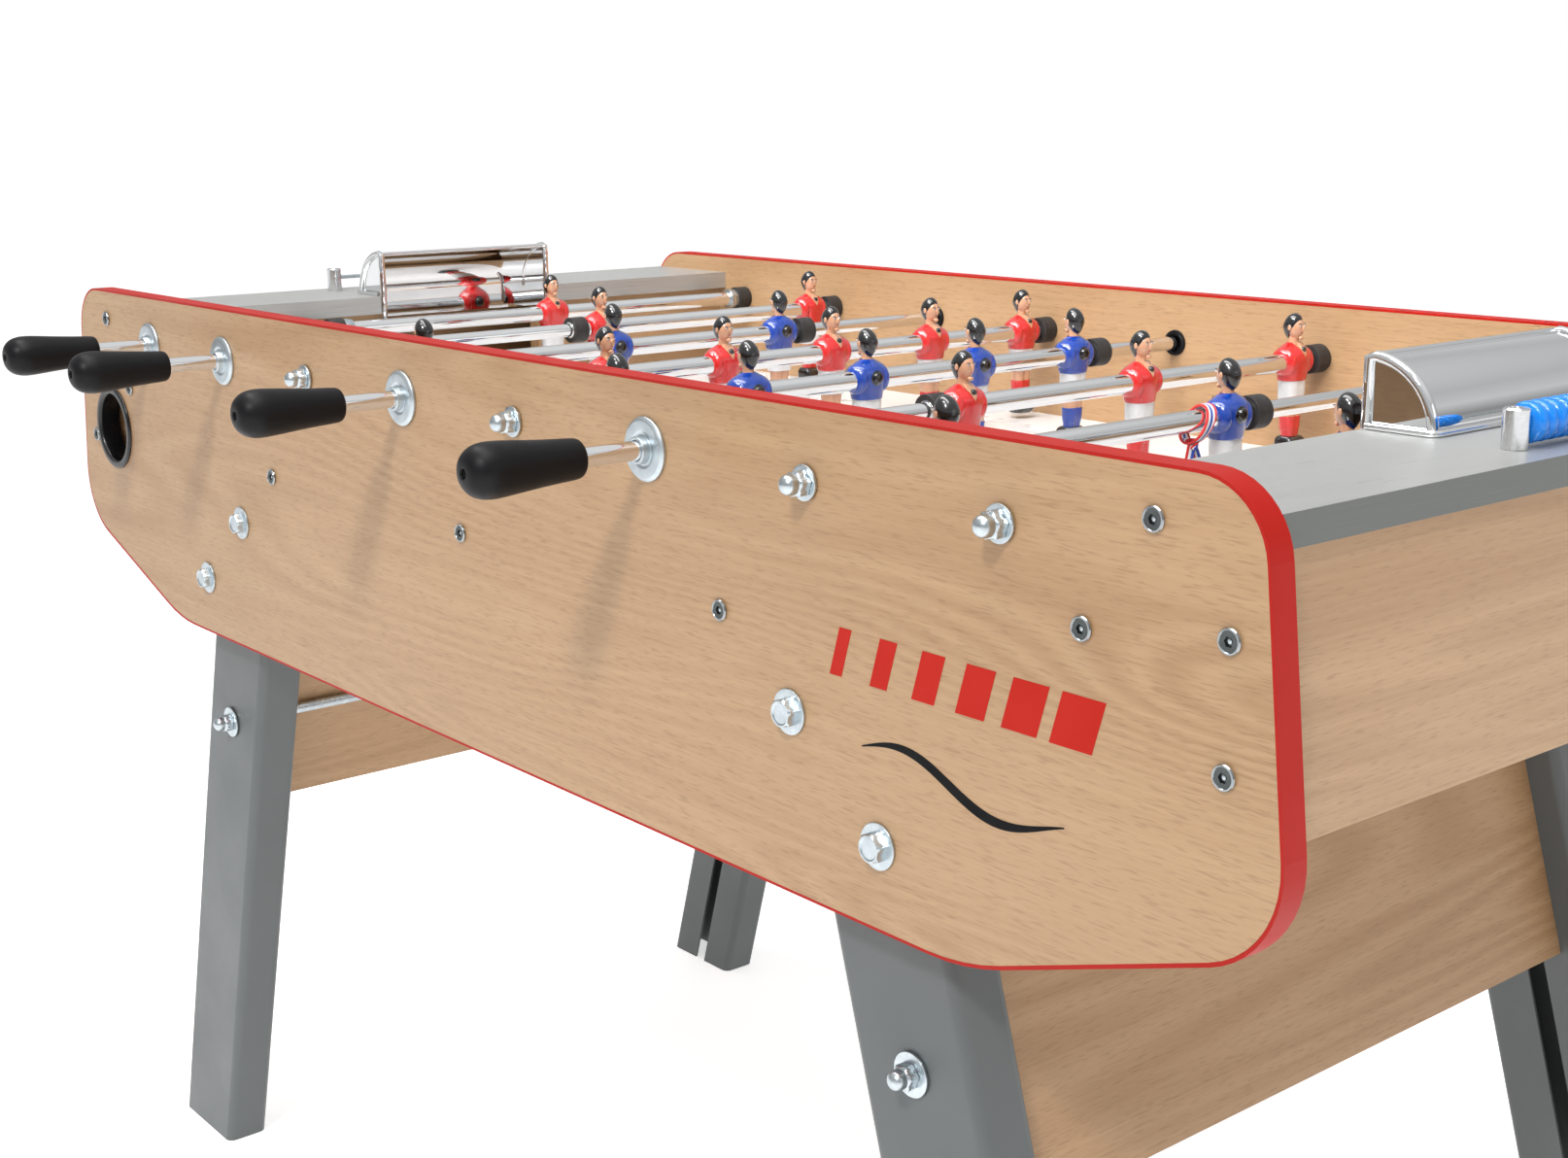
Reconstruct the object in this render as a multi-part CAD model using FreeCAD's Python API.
"""A table football game, as separate solids.

A beech-faced cabinet stands on four splayed steel legs.  Eight telescopic rods carry the players:
each rod is a tube that slides and spins on a fixed inner shaft, which is bolted to the side opposite
the grip.  Chromed hoods cover the goals, and beads on the end plates keep the score.

Frame: X runs along the table, Y from the red players' side to the blue players' side, Z is up.
The origin is on the floor, halfway along the table and halfway between the outermost grips.
Units are millimetres.  The layout is the same after half a turn about Z, apart from the rods' rest
places, so most pieces are made once and turned.
"""

import FreeCAD
import Part
import math
import os

V = FreeCAD.Vector

# ---- overall sizes ----
TABLE_LENGTH = 1500.0
TABLE_WIDTH = 736.0
TABLE_HEIGHT = 880.0

# ---- cabinet ----
BOARD = 18.0
PANEL_HEIGHT = 308.0
EDGING = 2.0
END_SPAN = 152.0
PLATE_OVERHANG = 24.0
BOARD_INSET = 4.0
WALL_INSET = 12.0
PLATE_DROP = 19.0
CHUTE_DEPTH = 192.0
CHUTE_LIP = 20.0
CHUTE_FALL = 12.0
PANEL_LEAN = 6.3
PANEL_RAKE = 19.3
TOP_CORNER_R = 45.0
END_CORNER_R = 62.0
BELLY_R = 180.0
END_CORNER_DROP = 232.0

# ---- rods ----
ROD_DROP = 46.0
ROD_END_GAP = 38.0
TUBE_D = 16.0
GRIP_TUBE_D = 13.0
SHAFT_D = 10.0
RUNNING_GAP = 0.05
STOP_GAP = 0.5
SIDE_GAP = 0.3
SHAFT_HOLD = 60.0
BUMPER_D = 25.0
BUMPER_LENGTH = 16.5
COLLAR_D = 22.0
COLLAR_LENGTH = 10.0

# ---- grips and bearings ----
GRIP_LENGTH = 84.0
GRIP_D = 36.0
GRIP_NECK_D = 26.0
GRIP_STANDOFF = 53.0
GRIP_SOCKET = 66.0
FLANGE_D = 43.0
FLANGE_T = 4.0
BARREL_D = 19.0
COLLAR_OUT = 9.0
FLANGE_BEVEL = 2.0
RIM_D = 24.0
RIM_T = 2.5
NOSE_D = 16.0
# The grip's outline: share of its length from the table side, and share of the swell from neck to belly.
GRIP_CURVE = [(0.018, -0.2), (0.07, 0.1), (0.4, 0.5), (0.76, 1.0), (0.91, 0.64), (0.988, -0.44)]
GRIP_TIP_SWELL = -0.73
GRIP_EDGE_SWELL = -0.42

# ---- players ----
FOOT_GAP = 1.5
FIELD_GAP = 5.5
SHOULDER_HALF = 21.0
SHOULDER_Z = 7.0
HEAD_TOP = 41.0
HEAD_HALF = (9.0, 8.0, 10.5)
NECK_D = 9.2
NECK_LENGTH = 10.0
HIP_Z = -15.0
KNEE_SHARE = 0.58
FOOT_HEIGHT = 14.0
# Half widths and half depths, and how far forward the block sits.
SHORTS = (12.5, 8.5, 0.0)
SHINS = (9.0, 6.5, -0.5)
FOOT = (11.0, 10.0, 1.0)
BLOCK_ROUNDING = 0.55
# The torso's rings other than the shoulders: height over the axis, half width, half depth.
TORSO_LOW = [(-16.0, 13.0, 10.5), (-4.0, 15.0, 13.0)]
TORSO_HIGH = [(12.0, 18.0, 10.0), (15.5, 8.0, 6.5)]
TORSO_DEPTH = 13.0
BODY_SCREW_D = 8.0
BODY_SCREW_Z = 3.0
BODY_SCREW_HALF = 13.8

# ---- goals and counters ----
HOOD_WIDTH = 200.0
HOOD_RISE = 45.0
HOOD_SHEET = 1.5
HOOD_RIM = 4.0
HOOD_SKIRT = 25.5
HOOD_FOOT = 6.0
HOOD_CLEARANCE = 4.5
HOOD_LIP = 1.0
MOUTH_SIDE = 3.0
POST_D = 15.0
POST_HEIGHT = 23.5
POST_HALF_SPAN = 104.0
POST_SETBACK = 29.0
WIRE_D = 4.0
WIRE_RISE = 14.0
BEAD_COUNT = 10
BEAD_D = 24.0
BEAD_PITCH = 9.8
BEAD_GAP = 0.3
RETURN_D = 82.0
RETURN_BORE = 66.0
RETURN_DROP = 136.0
RETURN_LIP = 4.0
RETURN_LIP_T = 3.0

# ---- legs ----
LEG_WIDTH = 104.0
LEG_DEPTH = 42.0
LEG_WALL = 2.5
LEG_CORNER_R = 8.0
LEG_SLOT = 16.0
LEG_SPLAY = 16.2
LEG_TOP_INSET = 344.0
LEG_TOP_GAP = 10.0
APRON_TOP = 236.0
APRON_HEIGHT = 263.0
APRON_INSET = 6.5
TIE_D = 10.0
TIE_DROP = 401.0

# ---- fasteners ----
SCREW_HEAD_D = 14.0
SCREW_HEAD_T = 2.2
SCREW_D = 6.0
SCREW_BITE = 25.0
SOCKET_AF = 5.0
BOLT_D = 10.0
BOLT_AF = 17.0
BOLT_HEAD_T = 7.0
WASHER_D = 29.0
WASHER_T = 2.0
NUT_AF = 15.0
NUT_T = 7.0
NUT_WASHER_D = 22.0
LEG_BOLT_ACROSS = 31.0
LEG_BOLT_LOW = 64.0
LEG_BOLT_DROP = 190.0
FIELD_SCREW_SPREAD = 316.0
PLATE_SCREW_SHIFT = 2.0
WALL_SCREW_DROP = 92.0
END_SCREW_DROP = 80.0
LOW_SCREW_RISE = 44.0
SCREW_EDGE = 40.0
BEVEL = 0.12
DOME_SHARE = 0.43
NECK_SHARE = 0.25

# Rod kinds on the red side: place in the row of eight, player count, and travel between the stops.
KINDS = {
    "goal": (0, 1, 162.0),
    "defence": (1, 2, 345.0),
    "midfield": (3, 5, 131.0),
    "attack": (5, 3, 227.0),
}
# How far each blue rod is drawn out at rest.  The red rods rest pushed fully in.
BLUE_PULL = {"goal": 18.0, "defence": 57.0, "midfield": 33.0, "attack": 55.0}

# ---- places worked out from the sizes above ----
ROD_Z = TABLE_HEIGHT - ROD_DROP
FRONT = -TABLE_WIDTH / 2
WALL_Y = TABLE_WIDTH / 2 - BOARD
FIELD_WIDTH = 2 * WALL_Y
PLATE_X0 = TABLE_LENGTH / 2 - END_SPAN
PLATE_X1 = TABLE_LENGTH / 2 - PLATE_OVERHANG
PLATE_Z1 = TABLE_HEIGHT - PLATE_DROP
PLATE_Z0 = PLATE_Z1 - BOARD
WALL_X0 = PLATE_X0 + WALL_INSET
WALL_X1 = WALL_X0 + BOARD
END_X1 = PLATE_X1 - BOARD_INSET
END_X0 = END_X1 - BOARD
CHUTE_X = (WALL_X1 + END_X0) / 2
CHUTE_Z = TABLE_HEIGHT - CHUTE_DEPTH
ROD_PITCH = 2 * (PLATE_X0 - ROD_END_GAP) / 7
REACH = ROD_PITCH / 2 - FOOT_GAP
FIELD_Z = ROD_Z - REACH - FIELD_GAP
FIELD_UNDER = FIELD_Z - BOARD
HOOD_DEPTH = REACH - ROD_END_GAP + HOOD_CLEARANCE
END_REACH = SHOULDER_HALF + SIDE_GAP + BUMPER_LENGTH
POST_X = PLATE_X1 - POST_SETBACK
WIRE_Z = PLATE_Z1 + WIRE_RISE
LEG_TOP_Z = FIELD_UNDER - LEG_TOP_GAP
SPLAY = math.radians(LEG_SPLAY)
BOLT_ROW_Z = TABLE_HEIGHT - LEG_BOLT_DROP
MID_Y = max(BLUE_PULL.values()) / 2

PIECES = {}


def box(x0, x1, y0, y1, z0, z1):
    return Part.makeBox(x1 - x0, y1 - y0, z1 - z0, V(x0, y0, z0))


def bar_y(diameter, x, z, y0, y1):
    """A round bar along Y."""
    return Part.makeCylinder(diameter / 2, y1 - y0, V(x, y0, z), V(0, 1, 0))


def ring_y(outer, inner, x, z, y0, y1):
    return bar_y(outer, x, z, y0, y1).cut(bar_y(inner, x, z, y0 - 1, y1 + 1))


def hex_y(across_flats, x, z, y0, y1):
    """A hexagonal prism along Y."""
    radius = across_flats / math.sqrt(3)
    corners = [
        V(x + radius * math.cos(math.pi * k / 3), y0, z + radius * math.sin(math.pi * k / 3))
        for k in range(7)
    ]
    return Part.Face(Part.makePolygon(corners)).extrude(V(0, y1 - y0, 0))


def joined(shapes):
    """One solid from shapes that overlap or meet."""
    first = shapes[0]
    return first.fuse(shapes[1:]).removeSplitter() if len(shapes) > 1 else first


def gathered(shapes):
    """Separate solids kept together as one piece file."""
    return Part.makeCompound(shapes)


def turned(shape):
    """The same shape at the other end and other side of the table."""
    copy = shape.copy()
    copy.rotate(V(0, 0, 0), V(0, 0, 1), 180)
    return copy


def mirrored_x(shape):
    return shape.mirror(V(0, 0, 0), V(1, 0, 0))


def mirrored_y(shape):
    return shape.mirror(V(0, 0, 0), V(0, 1, 0))


def revolved_y(profile, x, z):
    """Turns a closed wire of (radius, y) points about the bar axis at x, z."""
    wire = Part.makePolygon([V(x + r, y, z) for r, y in profile + profile[:1]])
    return Part.Face(wire).revolve(V(x, 0, z), V(0, 1, 0), 360)


def rod_x(index):
    return ROD_PITCH * (index - 3.5)


def rounded_wire(corners):
    """A closed wire in the XZ plane through (x, z, radius) corners, each rounded by its radius."""
    starts, ends, middles = [], [], []
    count = len(corners)
    for k, (x, z, radius) in enumerate(corners):
        here = V(x, 0, z)
        before = (V(corners[k - 1][0], 0, corners[k - 1][1]) - here).normalize()
        after_corner = corners[(k + 1) % count]
        after = (V(after_corner[0], 0, after_corner[1]) - here).normalize()
        half = before.getAngle(after) / 2
        back = radius / math.tan(half)
        centre = here + (before + after).normalize() * (radius / math.sin(half))
        starts.append(here + before * back)
        ends.append(here + after * back)
        middles.append(centre + (here - centre).normalize() * radius)
    edges = []
    for k in range(count):
        edges.append(Part.Arc(starts[k], middles[k], ends[k]).toShape())
        edges.append(Part.makeLine(ends[k], starts[(k + 1) % count]))
    return Part.Wire(edges)


def panel_corners(inset=0.0):
    """The side panel's outline, drawn in by inset: straight top, leaning ends, raked belly."""
    lean = math.radians(PANEL_LEAN)
    rake = math.radians(PANEL_RAKE)
    top = TABLE_HEIGHT - inset
    low = TABLE_HEIGHT - PANEL_HEIGHT + inset
    knee_z = TABLE_HEIGHT - END_CORNER_DROP + inset
    turn = math.pi / 2 + lean - rake
    spread = END_CORNER_R * math.tan(turn / 2) * math.sin(lean) - END_CORNER_R * (1 - math.cos(lean))
    knee_x = TABLE_LENGTH / 2 + spread - inset
    top_x = knee_x - (top - knee_z) * math.tan(lean)
    belly_x = knee_x - (knee_z - low) / math.tan(rake)
    right = [
        (top_x, top, TOP_CORNER_R - inset),
        (knee_x, knee_z, END_CORNER_R - inset),
        (belly_x, low, BELLY_R),
    ]
    return right + [(-x, z, radius) for x, z, radius in reversed(right)]


def panel_slab(inset=0.0):
    face = Part.Face(rounded_wire(panel_corners(inset)))
    slab = face.extrude(V(0, BOARD, 0))
    slab.translate(V(0, FRONT, 0))
    return slab


# ---- fasteners, all on the front panel and facing -Y ----


def bevelled_disc(diameter, bevel, x, z, y0, y1):
    """A disc along Y whose outer edge is bevelled on its -Y side."""
    radius = diameter / 2
    outline = [(0, y0), (radius - bevel, y0), (radius, y0 + bevel), (radius, y1), (0, y1)]
    return revolved_y(outline, x, z)


def flat_screw(x, z, face_y):
    """A flat-headed socket screw through the panel."""
    head_y = face_y - SCREW_HEAD_T
    bevel = SCREW_HEAD_T / 3
    head = bevelled_disc(SCREW_HEAD_D, bevel, x, z, head_y, face_y)
    shank = bar_y(SCREW_D, x, z, face_y, face_y + BOARD + SCREW_BITE)
    socket = hex_y(SOCKET_AF, x, z, head_y - 1, face_y - bevel)
    return joined([head, shank]).cut(socket)


def hex_bolt(x, z, face_y):
    """A hexagon bolt and washer that holds a leg to the panel."""
    washer = bar_y(WASHER_D, x, z, face_y - WASHER_T, face_y)
    head_y = face_y - WASHER_T - BOLT_HEAD_T
    head = hex_y(BOLT_AF, x, z, head_y, face_y - WASHER_T)
    corner_d = 2 * BOLT_AF / math.sqrt(3)
    head = head.common(bevelled_disc(corner_d, BOLT_AF * BEVEL, x, z, head_y, face_y - WASHER_T))
    shank = bar_y(BOLT_D, x, z, face_y - WASHER_T, face_y + BOARD + 2 * LEG_WALL)
    return joined([washer, head, shank])


def acorn_nut(x, z, face_y, washer_d):
    """A washer and a domed nut on a stud end, standing out from a face towards -Y."""
    washer = bar_y(washer_d, x, z, face_y - WASHER_T, face_y)
    nut_y = face_y - WASHER_T - NUT_T
    nut = hex_y(NUT_AF, x, z, nut_y, face_y - WASHER_T)
    dome_r = NUT_AF * DOME_SHARE
    dome_y = nut_y - NUT_AF * NECK_SHARE
    neck = bar_y(2 * dome_r, x, z, dome_y, nut_y)
    dome = Part.makeSphere(dome_r, V(x, dome_y, z))
    return joined([washer, nut, neck, dome])


def screw_places():
    """(x, z) of the flat-headed screws: into the end plates, walls, end boards and playfield."""
    end_x = (END_X0 + END_X1) / 2
    wall_x = (WALL_X0 + WALL_X1) / 2
    low_z = CHUTE_Z + LOW_SCREW_RISE
    off_ring = (RETURN_D + SCREW_HEAD_D) / 2 + SIDE_GAP
    ring_rise = TABLE_HEIGHT - RETURN_DROP - low_z
    beside_ring = CHUTE_X + math.sqrt(max(off_ring ** 2 - ring_rise ** 2, 0))
    one_end = [
        (CHUTE_X - PLATE_SCREW_SHIFT, (PLATE_Z0 + PLATE_Z1) / 2),
        (wall_x, TABLE_HEIGHT - WALL_SCREW_DROP),
        (end_x, TABLE_HEIGHT - END_SCREW_DROP),
        (max(end_x, beside_ring), low_z),
    ]
    field_z = FIELD_Z - BOARD / 2
    spread = min(FIELD_SCREW_SPREAD, WALL_X0 - SCREW_EDGE)
    middle = [(-spread, field_z), (0, field_z), (spread, field_z)]
    return one_end + [(-x, z) for x, z in one_end] + middle


def leg_line_x(z):
    """How far the leg's centre line stands from the table's middle at height z."""
    return TABLE_LENGTH / 2 - LEG_TOP_INSET + (LEG_TOP_Z - z) * math.tan(SPLAY)


def leg_bolt_places():
    """(x, z) of the two hexagon bolts of the +X leg, one each side of the leg's centre line."""
    high_z = BOLT_ROW_Z
    low_z = BOLT_ROW_Z - LEG_BOLT_LOW
    return [
        (leg_line_x(high_z) - LEG_BOLT_ACROSS, high_z),
        (leg_line_x(low_z) + LEG_BOLT_ACROSS, low_z),
    ]


def front_screws():
    return [flat_screw(x, z, FRONT) for x, z in screw_places()]


def front_leg_bolts():
    places = leg_bolt_places()
    return [hex_bolt(side * x, z, FRONT) for side in (-1, 1) for x, z in places]


# ---- cabinet ----


def return_hole(diameter, y0, y1):
    return bar_y(diameter, -CHUTE_X, TABLE_HEIGHT - RETURN_DROP, y0, y1)


def side_panel():
    """The front side panel, less its edging, with every hole bored through."""
    panel = panel_slab(EDGING)
    cuts = [return_hole(RETURN_D - 2 * RETURN_LIP, FRONT - 1, FRONT + BOARD + 1)]
    handle_rods = [index for index, _, _ in KINDS.values()]
    for index in range(8):
        bore = BARREL_D if index in handle_rods else SHAFT_D
        cuts.append(bar_y(bore, rod_x(index), ROD_Z, FRONT - 1, FRONT + BOARD + 1))
    for x, z in screw_places():
        cuts.append(bar_y(SCREW_D, x, z, FRONT - 1, FRONT + BOARD + 1))
    for x, z in leg_bolt_places():
        for side in (-1, 1):
            cuts.append(bar_y(BOLT_D, side * x, z, FRONT - 1, FRONT + BOARD + 1))
    return panel.cut(cuts)


def panel_edging():
    return panel_slab().cut(panel_slab(EDGING))


def screw_bores():
    """The holes that the side screws need in the boards of both sides."""
    near = [bar_y(SCREW_D, x, z, FRONT, FRONT + BOARD + SCREW_BITE) for x, z in screw_places()]
    return near + [turned(bore) for bore in near]


def playfield():
    board = box(-WALL_X0, WALL_X0, -WALL_Y, WALL_Y, FIELD_UNDER, FIELD_Z)
    return board.cut(screw_bores())


def mouth_half_width():
    return HOOD_WIDTH / 2 - MOUTH_SIDE


def goal_wall():
    """The +X end wall of the field, open above the field's surface at the goal."""
    half = mouth_half_width()
    wall = box(WALL_X0, WALL_X1, -WALL_Y, WALL_Y, CHUTE_Z, PLATE_Z0)
    mouth = box(WALL_X0 - 1, WALL_X1 + 1, -half, half, FIELD_Z, PLATE_Z0 + 1)
    skirt_half = HOOD_WIDTH / 2
    skirt_z = PLATE_Z1 - HOOD_SKIRT
    skirt = box(WALL_X0 - 1, WALL_X1 + 1, -skirt_half, skirt_half, skirt_z, PLATE_Z0 + 1)
    return wall.cut([mouth, skirt] + screw_bores())


def end_board():
    return box(END_X0, END_X1, -WALL_Y, WALL_Y, CHUTE_Z, PLATE_Z0).cut(screw_bores())


def ball_chute():
    """The +X ball channel's floor, which falls towards the return hole at the back."""
    low = CHUTE_Z + CHUTE_LIP
    corners = [
        V(WALL_X1, -WALL_Y, CHUTE_Z),
        V(WALL_X1, WALL_Y, CHUTE_Z),
        V(WALL_X1, WALL_Y, low),
        V(WALL_X1, -WALL_Y, low + CHUTE_FALL),
    ]
    side = Part.Face(Part.makePolygon(corners + corners[:1]))
    return side.extrude(V(END_X0 - WALL_X1, 0, 0)).cut(screw_bores())


def end_plate():
    """The +X grey top plate, notched for the goal hood."""
    plate = box(PLATE_X0, PLATE_X1, -WALL_Y, WALL_Y, PLATE_Z0, PLATE_Z1)
    half = HOOD_WIDTH / 2
    notch = box(PLATE_X0 - 1, PLATE_X0 + HOOD_DEPTH, -half, half, PLATE_Z0 - 1, PLATE_Z1 + 1)
    return plate.cut([notch] + screw_bores())


def hood_outline(inset, front, low):
    """The hood's side outline in the XZ plane: flat front, arched top and upright back."""
    back = PLATE_X0 + HOOD_DEPTH - inset
    rise = HOOD_RISE - inset
    top = PLATE_Z1 + rise
    across = back - PLATE_X0
    bend = math.sin(math.pi / 4)
    crown = V(PLATE_X0 + across * bend, 0, PLATE_Z1 + rise * bend)
    arc = Part.Arc(V(PLATE_X0, 0, top), crown, V(back, 0, PLATE_Z1)).toShape()
    rest = [V(back, 0, PLATE_Z1), V(back, 0, low), V(front, 0, low), V(front, 0, top)]
    if front < PLATE_X0:
        rest.append(V(PLATE_X0, 0, top))
    return Part.Face(Part.Wire([arc] + Part.makePolygon(rest).Edges))


def goal_hood():
    """The +X goal hood: an arched sheet with side plates, open to the field and below."""
    half = HOOD_WIDTH / 2
    low = PLATE_Z1 - HOOD_SKIRT
    outer = hood_outline(0.0, PLATE_X0, low).extrude(V(0, HOOD_WIDTH, 0))
    outer.translate(V(0, -half, 0))
    inner_half = half - HOOD_SHEET
    inner = hood_outline(HOOD_SHEET, PLATE_X0 - HOOD_DEPTH, low - HOOD_SKIRT)
    inner = inner.extrude(V(0, 2 * inner_half, 0))
    inner.translate(V(0, -inner_half, 0))
    back_x = PLATE_X0 + HOOD_DEPTH
    foot_z = PLATE_Z1 + HOOD_SHEET
    foot = box(PLATE_X0, back_x + HOOD_FOOT, -half - HOOD_FOOT, half + HOOD_FOOT, PLATE_Z1, foot_z)
    hollow_x = back_x - HOOD_SHEET / 2
    hollow = box(PLATE_X0 - 1, hollow_x, -half, half, PLATE_Z1 - 1, foot_z + 1)
    rim_x = PLATE_X0 + HOOD_RIM
    rim_top = PLATE_Z1 + HOOD_RISE + HOOD_LIP
    rims = [
        box(PLATE_X0, rim_x, half - HOOD_SHEET, half + HOOD_RIM / 2, PLATE_Z1, rim_top),
        box(PLATE_X0, rim_x, -half - HOOD_RIM / 2, -half + HOOD_SHEET, PLATE_Z1, rim_top),
    ]
    return joined([outer.cut(inner), foot.cut(hollow)] + rims)


def return_ring():
    """The trim ring round the front ball-return hole."""
    y0 = FRONT - RETURN_LIP_T
    ring = return_hole(RETURN_D, y0, FRONT)
    sleeve = return_hole(RETURN_D - 2 * RETURN_LIP, FRONT, FRONT + BOARD)
    return joined([ring, sleeve]).cut(return_hole(RETURN_BORE, y0 - 1, FRONT + BOARD + 1))


# ---- score counters ----


def counter():
    """The +X score counter's two posts and the wire between them."""
    parts = []
    for side in (-1, 1):
        base = V(POST_X, side * POST_HALF_SPAN, PLATE_Z1)
        parts.append(Part.makeCylinder(POST_D / 2, POST_HEIGHT, base))
    parts.append(bar_y(WIRE_D, POST_X, WIRE_Z, -POST_HALF_SPAN, POST_HALF_SPAN))
    return joined(parts)


def bead_row():
    """The +X beads, pushed up against the post nearest the front."""
    bore = WIRE_D / 2 + RUNNING_GAP
    radius = BEAD_D / 2
    thick = BEAD_PITCH - BEAD_GAP
    first = -POST_HALF_SPAN + POST_D / 2 + BEAD_GAP
    beads = []
    for k in range(BEAD_COUNT):
        y0 = first + k * BEAD_PITCH
        profile = [
            (bore, y0),
            (radius * 0.72, y0),
            (radius * 0.93, y0 + thick * 0.16),
            (radius, y0 + thick * 0.4),
            (radius, y0 + thick * 0.6),
            (radius * 0.93, y0 + thick * 0.84),
            (radius * 0.72, y0 + thick),
            (bore, y0 + thick),
        ]
        beads.append(revolved_y(profile, POST_X, WIRE_Z))
    return gathered(beads)


# ---- legs ----


def leg():
    """The front +X leg: a folded channel whose open slot faces the table's inside."""
    slot_half = LEG_SLOT / 2
    top = V(TABLE_LENGTH / 2 - LEG_TOP_INSET, 0, LEG_TOP_Z)
    length = (LEG_TOP_Z + LEG_WIDTH) / math.cos(SPLAY)

    def tube(width, depth, radius):
        body = Part.makeBox(width, depth, length + LEG_WIDTH, V(-width / 2, 0, -length))
        uprights = [e for e in body.Edges if abs(e.tangentAt(e.FirstParameter).z) > 0.9]
        return body.makeFillet(radius, uprights)

    outer = tube(LEG_WIDTH, LEG_DEPTH, LEG_CORNER_R)
    inner = tube(LEG_WIDTH - 2 * LEG_WALL, LEG_DEPTH - 2 * LEG_WALL, LEG_CORNER_R - LEG_WALL)
    inner.translate(V(0, LEG_WALL, 0))
    slot = box(-slot_half, slot_half, LEG_DEPTH / 2, LEG_DEPTH + 1, -length - 1, 2 * LEG_WIDTH)
    channel = outer.cut([inner, slot])
    channel.rotate(V(0, 0, 0), V(0, 1, 0), -LEG_SPLAY)
    channel.translate(top + V(0, FRONT + BOARD, 0))
    span = TABLE_LENGTH
    channel = channel.common(box(-span, span, -TABLE_WIDTH, TABLE_WIDTH, 0, LEG_TOP_Z))
    y0 = FRONT + BOARD - 1
    cuts = [bar_y(BOLT_D, x, z, y0, y0 + LEG_WALL + 2) for x, z in leg_bolt_places()]
    tie_z = TABLE_HEIGHT - TIE_DROP
    cuts.append(bar_y(TIE_D, leg_line_x(tie_z), tie_z, y0, y0 + LEG_DEPTH + 2))
    return channel.cut(cuts)


def apron():
    """The +X cross board between the legs, lying along their slope."""
    leg_face = WALL_Y - LEG_DEPTH
    top_z = TABLE_HEIGHT - APRON_TOP
    along = APRON_HEIGHT / math.cos(SPLAY)
    board = box(APRON_INSET, APRON_INSET + BOARD, -leg_face, leg_face, -along, 0)
    board.rotate(V(0, 0, 0), V(0, 1, 0), -LEG_SPLAY)
    board.translate(V(leg_line_x(top_z), 0, top_z))
    return board


def tie_rod():
    """The +X tie rod through both legs, with a domed nut and washer on each end."""
    z = TABLE_HEIGHT - TIE_DROP
    x = leg_line_x(z)
    rod = bar_y(TIE_D, x, z, -WALL_Y, WALL_Y)
    nut = acorn_nut(x, z, -WALL_Y, WASHER_D)
    return joined([rod, nut, mirrored_y(nut)])


# ---- rods, made for the red side: grip towards -Y, pushed fully in ----


def player_offsets(kind):
    """Each player's place along the rod, from the middle of the rod's working part."""
    _, count, travel = KINDS[kind]
    if count == 1:
        return [0.0]
    spread = FIELD_WIDTH - travel - RIM_T - 2 * STOP_GAP - 2 * END_REACH
    return [spread * (k / (count - 1) - 0.5) for k in range(count)]


def rod_span(kind):
    """The working part's two ends, from the grip side to the far side."""
    travel = KINDS[kind][2]
    far = WALL_Y - STOP_GAP
    return far - (FIELD_WIDTH - travel - RIM_T - 2 * STOP_GAP), far


def player():
    """One player round the rod's axis at the origin, facing +X."""
    ankle = FOOT_HEIGHT - REACH
    knee = ankle * KNEE_SHARE

    def oval(z, half_y, half_x):
        long_end, short_end = V(0, half_y, z), V(half_x, 0, z)
        return Part.Wire([Part.Ellipse(long_end, short_end, V(0, 0, z)).toShape()])

    def block(z0, z1, half_y, half_x, forward):
        body = box(forward - half_x, forward + half_x, -half_y, half_y, z0, z1)
        uprights = [e for e in body.Edges if abs(e.tangentAt(e.FirstParameter).z) > 0.9]
        return body.makeFillet(min(half_y, half_x) * BLOCK_ROUNDING, uprights)

    shoulders = [(SHOULDER_Z, SHOULDER_HALF, TORSO_DEPTH)]
    torso = Part.makeLoft([oval(*ring) for ring in TORSO_LOW + shoulders + TORSO_HIGH], True)
    neck = Part.makeCylinder(NECK_D / 2, NECK_LENGTH, V(0, 0, TORSO_HIGH[0][0]))
    across, wide, tall = HEAD_HALF
    stretch = FreeCAD.Matrix(across, 0, 0, 0, 0, wide, 0, 0, 0, 0, tall, HEAD_TOP - tall, 0, 0, 0, 1)
    head = Part.makeSphere(1.0).transformGeometry(stretch)
    limbs = [block(knee, HIP_Z, *SHORTS), block(ankle, knee, *SHINS), block(-REACH, ankle, *FOOT)]
    screw_end = V(-BODY_SCREW_HALF, 0, BODY_SCREW_Z)
    screw = Part.makeCylinder(BODY_SCREW_D / 2, 2 * BODY_SCREW_HALF, screw_end, V(1, 0, 0))
    bore = bar_y(TUBE_D, 0, 0, -2 * SHOULDER_HALF, 2 * SHOULDER_HALF)
    return joined([torso, neck, head, screw] + limbs).cut(bore)


def players(kind, man):
    index = KINDS[kind][0]
    low, high = rod_span(kind)
    middle = (low + high) / 2
    row = []
    for offset in player_offsets(kind):
        copy = man.copy()
        copy.translate(V(rod_x(index), middle + offset, ROD_Z))
        row.append(copy)
    return gathered(row)


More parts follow.
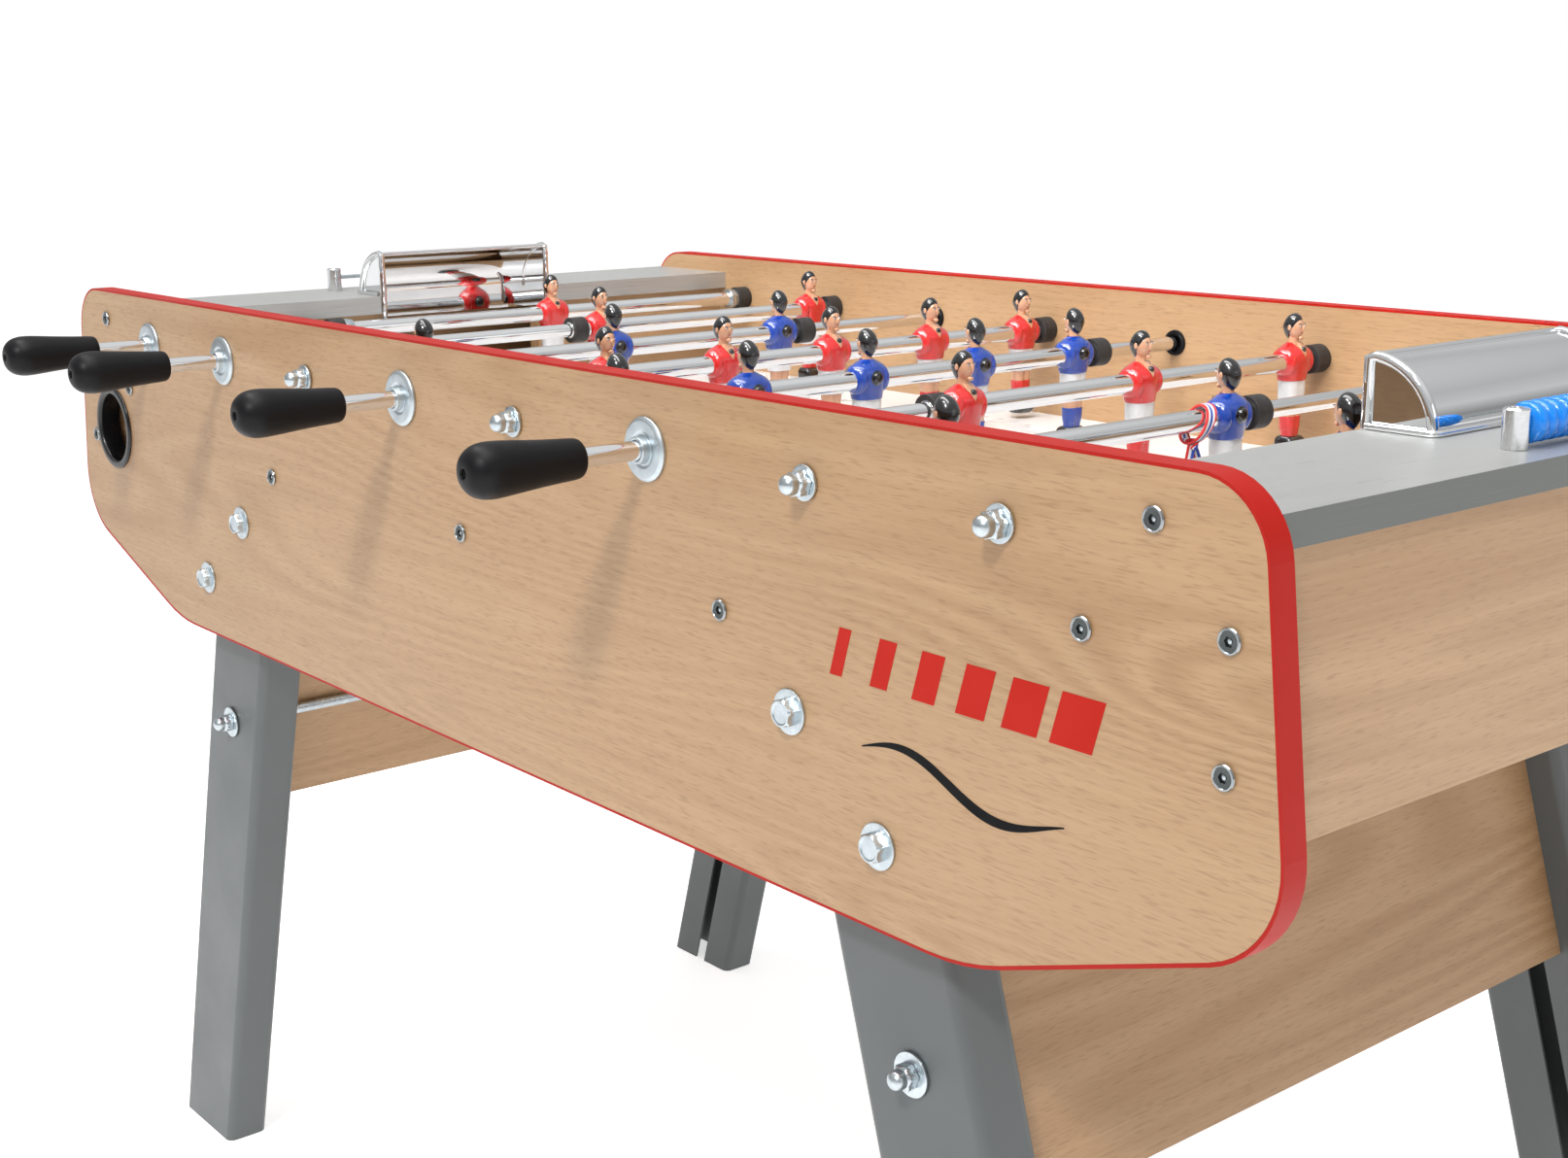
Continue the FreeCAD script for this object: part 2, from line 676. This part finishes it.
def rod_tube(kind):
    """The sliding tube: thick between its bumpers, thinner where it passes out to the grip."""
    x = rod_x(KINDS[kind][0])
    low, high = rod_span(kind)
    grip_y = FRONT - GRIP_STANDOFF
    parts = [
        bar_y(TUBE_D, x, ROD_Z, low, high),
        bar_y(GRIP_TUBE_D, x, ROD_Z, grip_y - GRIP_SOCKET, low),
    ]
    if KINDS[kind][1] == 1:
        reach = BUMPER_LENGTH + SIDE_GAP
        parts.append(bar_y(COLLAR_D, x, ROD_Z, low + reach, low + reach + COLLAR_LENGTH))
        parts.append(bar_y(COLLAR_D, x, ROD_Z, high - reach - COLLAR_LENGTH, high - reach))
    bore = SHAFT_D + 2 * RUNNING_GAP
    return joined(parts).cut(bar_y(bore, x, ROD_Z, grip_y - GRIP_SOCKET - 1, high + 1))


def bumpers(kind):
    """The rubber sleeves at both ends of the working part, free on the tube."""
    x = rod_x(KINDS[kind][0])
    low, high = rod_span(kind)
    bore = TUBE_D + 2 * RUNNING_GAP
    return gathered([
        ring_y(BUMPER_D, bore, x, ROD_Z, low, low + BUMPER_LENGTH),
        ring_y(BUMPER_D, bore, x, ROD_Z, high - BUMPER_LENGTH, high),
    ])


def grip(kind):
    """The moulded hand grip, fattest near its domed outer end."""
    x = rod_x(KINDS[kind][0])
    y0 = FRONT - GRIP_STANDOFF
    end = y0 - GRIP_LENGTH
    neck, swell = GRIP_NECK_D / 2, (GRIP_D - GRIP_NECK_D) / 2

    def outline(share, swollen):
        return V(x + neck + swell * swollen, y0 - GRIP_LENGTH * share, ROD_Z)

    points = [outline(*place) for place in GRIP_CURVE]
    curve = Part.BSplineCurve()
    curve.interpolate(points)
    tip, edge = outline(1, GRIP_TIP_SWELL), outline(0, GRIP_EDGE_SWELL)
    lines = Part.makePolygon([points[-1], tip, V(x, end, ROD_Z), V(x, y0, ROD_Z), edge, points[0]])
    face = Part.Face(Part.Wire([curve.toShape()] + lines.Edges))
    body = face.revolve(V(x, 0, ROD_Z), V(0, 1, 0), 360)
    return body.cut(bar_y(GRIP_TUBE_D, x, ROD_Z, y0 - GRIP_SOCKET, y0 + 1))


def shaft(kind):
    """The fixed inner shaft, with its washer and domed nut outside the far panel."""
    x = rod_x(KINDS[kind][0])
    travel = KINDS[kind][2]
    back = -FRONT
    rod = bar_y(SHAFT_D, x, ROD_Z, WALL_Y - travel - SHAFT_HOLD, back)
    nut = mirrored_y(acorn_nut(x, ROD_Z, FRONT, NUT_WASHER_D))
    return joined([rod, nut])


def flange(kind):
    """The bearing that the grip tube runs in: a bevelled flange outside and a rim inside."""
    x = rod_x(KINDS[kind][0])
    inner_face = FRONT + BOARD
    parts = [
        bevelled_disc(FLANGE_D, FLANGE_BEVEL, x, ROD_Z, FRONT - FLANGE_T, FRONT),
        bar_y(NOSE_D, x, ROD_Z, FRONT - COLLAR_OUT, FRONT),
        bar_y(BARREL_D, x, ROD_Z, FRONT, inner_face),
        bar_y(RIM_D, x, ROD_Z, inner_face, inner_face + RIM_T),
    ]
    bore = bar_y(GRIP_TUBE_D + 2 * RUNNING_GAP, x, ROD_Z, FRONT - 2 * COLLAR_OUT, inner_face + 2 * RIM_T)
    return joined(parts).cut(bore)


# ---- the whole table ----


def both_ends(name, shape):
    PIECES[name + "_right"] = shape
    PIECES[name + "_left"] = turned(shape)


def add_cabinet():
    panel = side_panel()
    edging = panel_edging()
    PIECES["side_panel_front"] = panel
    PIECES["side_panel_back"] = turned(panel)
    PIECES["panel_edging"] = gathered([edging, turned(edging)])
    PIECES["playfield"] = playfield()
    both_ends("goal_wall", goal_wall())
    both_ends("end_board", end_board())
    both_ends("ball_chute", ball_chute())
    both_ends("end_plate", end_plate())
    both_ends("goal_hood", goal_hood())
    both_ends("score_beads", bead_row())
    posts = counter()
    PIECES["counter_posts"] = gathered([posts, turned(posts)])
    ring = return_ring()
    PIECES["return_rings"] = gathered([ring, turned(ring)])
    screws = gathered(front_screws())
    PIECES["panel_screws"] = gathered([screws, turned(screws)])


def add_legs():
    front_right = leg()
    front_left = mirrored_x(front_right)
    PIECES["leg_front_right"] = front_right
    PIECES["leg_front_left"] = front_left
    PIECES["leg_back_left"] = turned(front_right)
    PIECES["leg_back_right"] = turned(front_left)
    both_ends("apron", apron())
    tie = tie_rod()
    bolts = gathered(front_leg_bolts())
    PIECES["leg_fasteners"] = gathered([tie, turned(tie), bolts, turned(bolts)])


def add_rods():
    man = player()
    fixed_shafts, flanges = [], []
    for kind in KINDS:
        made = {
            "tube": rod_tube(kind),
            "players": players(kind, man),
            "grip": grip(kind),
            "bumpers": bumpers(kind),
        }
        for part, shape in made.items():
            PIECES["%s_red_%s" % (part, kind)] = shape
            blue = turned(shape)
            blue.translate(V(0, BLUE_PULL[kind], 0))
            PIECES["%s_blue_%s" % (part, kind)] = blue
        shafts = shaft(kind)
        fixed_shafts += [shafts, turned(shafts)]
        bearing = flange(kind)
        flanges += [bearing, turned(bearing)]
    PIECES["inner_shafts"] = gathered(fixed_shafts)
    PIECES["rod_flanges"] = gathered(flanges)


def main():
    add_cabinet()
    add_legs()
    add_rods()
    os.makedirs("parts", exist_ok=True)
    for name, shape in PIECES.items():
        placed = shape.copy()
        placed.translate(V(0, -MID_Y, 0))
        placed.exportStep("parts/%s.step" % name)
    print(len(PIECES), "pieces")


main()
